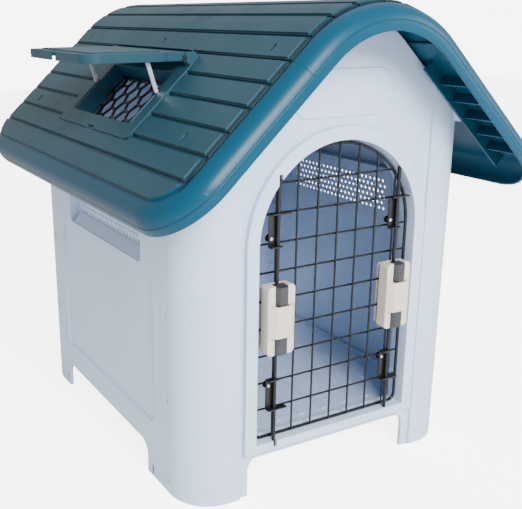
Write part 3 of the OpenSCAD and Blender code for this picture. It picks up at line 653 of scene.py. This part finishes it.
@dataclass
class SqueezeLatch:
    """One latch: a moulded grip with a knob at each end and a coil spring behind each knob."""

    side: Side
    knob_edge: float = 1.2 * MM
    knob_flank: float = 4.5 * MM
    spring_wire: float = 0.7 * MM
    spring_turns: float = 7
    bolt_travel: float = 12.5 * MM
    grip_edge: float = 1.3 * MM
    plate_edge: float = 0.6 * MM
    guide_edge: float = 0.45 * MM

    def node(self, part: str, level: Level | None = None) -> str:
        """Name of this latch's CAD node."""
        middle = f"_{level.value}" if level else ""
        return f"{part}{middle}_{self.side.value}"

    def knob(self, level: Level, palette: Palette) -> None:
        """Builds a smooth knob whose front tapers at both flanks."""
        low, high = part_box(self.node("knob", level))
        bm = bmesh.new()
        made = bmesh.ops.create_cube(bm, size=1)["verts"]
        bmesh.ops.scale(bm, vec=high - low, verts=made)
        bmesh.ops.translate(bm, vec=(high + low) / 2, verts=made)
        front = [e for e in bm.edges if all(v.co.y < low.y + self.knob_edge for v in e.verts)]
        flanks = [e for e in front if abs(e.verts[0].co.x - e.verts[1].co.x) < self.knob_edge]
        bmesh.ops.bevel(bm, geom=flanks, offset=self.knob_flank, segments=1, profile=0.5, affect="EDGES")
        edges = list(bm.edges)
        bmesh.ops.bevel(bm, geom=edges, offset=self.knob_edge, segments=4, profile=0.5, affect="EDGES")
        piece = publish(bm, self.node("finger_knob", level))
        install(piece, self.node("bolt", level), Slot.GREY, palette, [self.node("knob", level)])

    def spring(self, level: Level, palette: Palette) -> None:
        """Winds the coil spring behind a knob, as a fixed coil hung on the door."""
        node = self.node("latch_spring", level)
        low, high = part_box(node)
        radius = (high.x - low.x) / 2 - self.spring_wire
        base = Vector(((low.x + high.x) / 2, (low.y + high.y) / 2, low.z))
        bm = bmesh.new()
        coil(bm, radius, self.spring_wire, high.z - low.z, self.spring_turns, base)
        piece = publish(bm, self.node("coil_spring", level), 60)
        install(piece, "door", Slot.STEEL, palette, [node])
        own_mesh(piece)

    def grip(self, palette: Palette) -> None:
        """Rounds the housing's edges, and dresses its back plate."""
        housing = softened_copy(self.node("latch_housing"), self.node("latch_grip"), self.grip_edge)
        install(housing, "door", Slot.BEIGE, palette, [self.node("latch_housing")])
        plate = softened_copy(self.node("latch_back"), self.node("latch_plate"), self.plate_edge, 2)
        install(plate, "door", Slot.BEIGE, palette, [self.node("latch_back")])

    def build(self, nodes: dict[str, bpy.types.Object], palette: Palette) -> None:
        """Builds the whole latch."""
        self.grip(palette)
        for level in Level:
            self.knob(level, palette)
            self.spring(level, palette)
            palette.dress(nodes[self.node("rod", level)], Slot.WIRE)
            bracket = self.node("guide", level)
            guide = softened_copy(bracket, self.node("rod_guide", level), self.guide_edge, 2)
            install(guide, "door", Slot.BLACK, palette, [bracket])


@dataclass
class WireDoor:
    """The welded wire door with its rivets, screws and two latches."""

    frame_wire: float = 2.2 * MM
    mesh_wire: float = 1.4 * MM
    rivet_head: float = 2.6 * MM
    rivet_height: float = 1.3 * MM
    rivet_shank: float = 1.5 * MM
    shank_inset: float = 1.2 * MM
    rivet_in: float = 4.5 * MM
    rivet_up: float = 11 * MM
    washer: float = 5.0 * MM
    washer_height: float = 1.0 * MM
    screw_head: float = 2.9 * MM
    screw_head_height: float = 1.4 * MM
    screw_head_seat: float = 1.5 * MM
    screw_shank: float = 1.45 * MM
    screw_out: float = 16 * MM
    screw_in: float = 3 * MM
    weld: float = 2 * MM
    weld_flatness: float = 0.62
    upright_reach: int = 3
    level_count: int = 9
    wires: tuple[str, ...] = ("door_frame_wire", "door_upright_wires", "door_level_wires")

    def rivets(self, palette: Palette) -> None:
        """Sets a domed rivet through each rod guide, with a coated washer behind the mesh."""
        low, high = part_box("guide_rivets")
        shanks = bmesh.new()
        washers = bmesh.new()
        for side in Side:
            for level in Level:
                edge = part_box(f"guide_{level.value}_{side.value}")
                x = edge[0].x + self.rivet_in
                z = edge[0].z + self.rivet_up if level is Level.UPPER else edge[1].z - self.rivet_up
                seat = Vector((x, low.y + self.shank_inset, z))
                end = Vector((x, high.y - self.shank_inset, z))
                head = Vector((x, low.y + self.rivet_height, z))
                dome(shanks, self.rivet_head, self.rivet_height, head)
                rod(shanks, self.rivet_shank, seat, high.y - low.y - self.shank_inset)
                rod(washers, self.washer, end, self.washer_height, 40)
        install(publish(shanks, "guide_rivet_heads"), "door", Slot.STEEL, palette, ["guide_rivets"])
        install(publish(washers, "mesh_washers"), "door", Slot.WIRE, palette)

    def screws(self, palette: Palette) -> None:
        """Sets four pan-head screws into the back of each latch."""
        low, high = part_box("latch_screws")
        bm = bmesh.new()
        for side in Side:
            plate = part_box(f"latch_back_{side.value}")
            middle = (plate[0] + plate[1]) / 2
            for x in (middle.x - self.screw_out, middle.x + self.screw_out):
                for z in (low.z + self.screw_in, high.z - self.screw_in):
                    rod(bm, self.screw_shank, Vector((x, low.y, z)), high.y - low.y - self.shank_inset)
                    head = Vector((x, high.y - self.screw_head_seat, z))
                    dome(bm, self.screw_head, self.screw_head_height, head, False)
        install(publish(bm, "latch_pan_screws"), "door", Slot.STEEL, palette, ["latch_screws"])

    def welds(self, palette: Palette) -> None:
        """Adds the small flattened weld nuggets where the uprights cross the level wires."""
        low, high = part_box("door_upright_wires")
        level_low, level_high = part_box("door_level_wires")
        frame_low, frame_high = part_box("door_frame_wire")
        radius = (frame_high.x - frame_low.x) / 2 - self.frame_wire
        arch = frame_high.z - self.frame_wire - radius
        pitch_x = (high.x - low.x - 2 * self.mesh_wire) / (2 * self.upright_reach)
        pitch_z = (level_high.z - level_low.z - 2 * self.mesh_wire) / (self.level_count - 1)
        bm = bmesh.new()
        for row in range(self.level_count):
            z = level_low.z + self.mesh_wire + row * pitch_z
            reach = radius if z < arch else math.sqrt(max(radius**2 - (z - arch) ** 2, 0))
            for column in range(-self.upright_reach, self.upright_reach + 1):
                if abs(column * pitch_x) > reach - 2 * MM:
                    continue
                made = bmesh.ops.create_uvsphere(bm, u_segments=10, v_segments=6, radius=self.weld)["verts"]
                bmesh.ops.scale(bm, vec=(1, self.weld_flatness, 1), verts=made)
                where = Vector((column * pitch_x, (low.y + level_high.y) / 2, z))
                bmesh.ops.translate(bm, vec=where, verts=made)
        install(publish(bm, "wire_welds", 80), "door", Slot.WIRE, palette)

    def build(self, nodes: dict[str, bpy.types.Object], palette: Palette) -> None:
        """Builds the door's finer pieces and dresses its wires."""
        for name in self.wires:
            palette.dress(nodes[name], Slot.WIRE)
        self.rivets(palette)
        self.screws(palette)
        self.welds(palette)
        for side in Side:
            SqueezeLatch(side).build(nodes, palette)


# ---------------------------------------------------------------- studio


@dataclass(frozen=True)
class Studio:
    """Pale floor, soft lights and the camera."""

    camera_place: tuple[float, float, float] = (-0.6705, -1.1083, 0.6495)
    heading: float = math.radians(28.813)
    tilt: float = math.radians(-16.914)
    roll: float = math.radians(-0.312)
    lens: float = 55.55
    shift: tuple[float, float] = (0.116, 0.0055)
    floor_grey: float = 0.95
    floor_glow: float = 5.0
    world_strength: float = 0.75
    backdrop_strength: float = 7.0

    def camera(self) -> None:
        """Places the camera."""
        data = bpy.data.cameras.new("camera")
        data.lens = self.lens
        data.sensor_width = 36
        data.sensor_fit = "HORIZONTAL"
        data.shift_x, data.shift_y = self.shift
        data.clip_start = 0.01
        camera = bpy.data.objects.new("camera", data)
        turn = (
            Matrix.Rotation(-self.heading, 4, "Z")
            @ Matrix.Rotation(math.pi / 2 + self.tilt, 4, "X")
            @ Matrix.Rotation(self.roll, 4, "Z")
        )
        camera.matrix_world = Matrix.Translation(self.camera_place) @ turn
        bpy.context.scene.collection.objects.link(camera)
        bpy.context.scene.camera = camera

    def floor(self) -> None:
        """Lays a wide white floor that the camera sees nearly shadowless."""
        bm = bmesh.new()
        bmesh.ops.create_grid(bm, x_segments=1, y_segments=1, size=6)
        floor = publish(bm, "studio_floor")
        bench = Bench("studio floor")
        seen = bench.add("ShaderNodeLightPath", output="Is Camera Ray")
        bench.set(
            Base_Color=(self.floor_grey,) * 3,
            Roughness=0.8,
            Emission_Color=seen,
            Emission_Strength=self.floor_glow,
        )
        floor.data.materials.append(bench.material)

    def light(self, name: str, place: Vector, aim: Vector, size: float, power: float) -> None:
        """Adds one soft area light.

        Args:
            name: Name of the light.
            place: Where it stands.
            aim: The point it faces.
            size: Edge length.
            power: Watts.
        """
        data = bpy.data.lights.new(name, "AREA")
        data.shape = "SQUARE"
        data.size = size
        data.energy = power
        lamp = bpy.data.objects.new(name, data)
        turn = (aim - place).to_track_quat("-Z", "Y").to_matrix().to_4x4()
        lamp.matrix_world = Matrix.Translation(place) @ turn
        bpy.context.scene.collection.objects.link(lamp)

    def backdrop(self) -> None:
        """Surrounds the scene with soft light, and shows the camera a brighter plain backdrop."""
        world = bpy.data.worlds.new("studio")
        world.use_nodes = True
        tree = world.node_tree
        background = tree.nodes["Background"]
        background.inputs["Color"].default_value = (1, 1, 1, 1)
        seen = tree.nodes.new("ShaderNodeLightPath")
        strength = tree.nodes.new("ShaderNodeMapRange")
        strength.inputs["To Min"].default_value = self.world_strength
        strength.inputs["To Max"].default_value = self.backdrop_strength
        tree.links.new(seen.outputs["Is Camera Ray"], strength.inputs["Value"])
        tree.links.new(strength.outputs["Result"], background.inputs["Strength"])
        bpy.context.scene.world = world

    def build(self) -> None:
        """Builds the whole studio."""
        self.camera()
        self.floor()
        self.backdrop()
        aim = Vector((0, 0, 0.35))
        self.light("key", Vector((-0.5, -3.0, 2.0)), aim, 1.3, 205)
        self.light("fill", Vector((2.4, -1.6, 1.3)), aim, 1.6, 42)
        self.light("top", Vector((0.2, 0.6, 3.0)), aim, 2.4, 8)


def main() -> None:
    """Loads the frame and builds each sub-assembly."""
    logging.basicConfig(level=logging.INFO, format="%(message)s")
    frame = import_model()
    nodes = frame["nodes"]
    _, ridge_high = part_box("roof_ridge")
    palette = Palette(ridge_high.z - RoofMoulding.pad_height, ridge_high.y)
    Studio().build()
    Shell().dress(nodes, palette)
    WireDoor().build(nodes, palette)


if __name__ == "__main__":
    main()
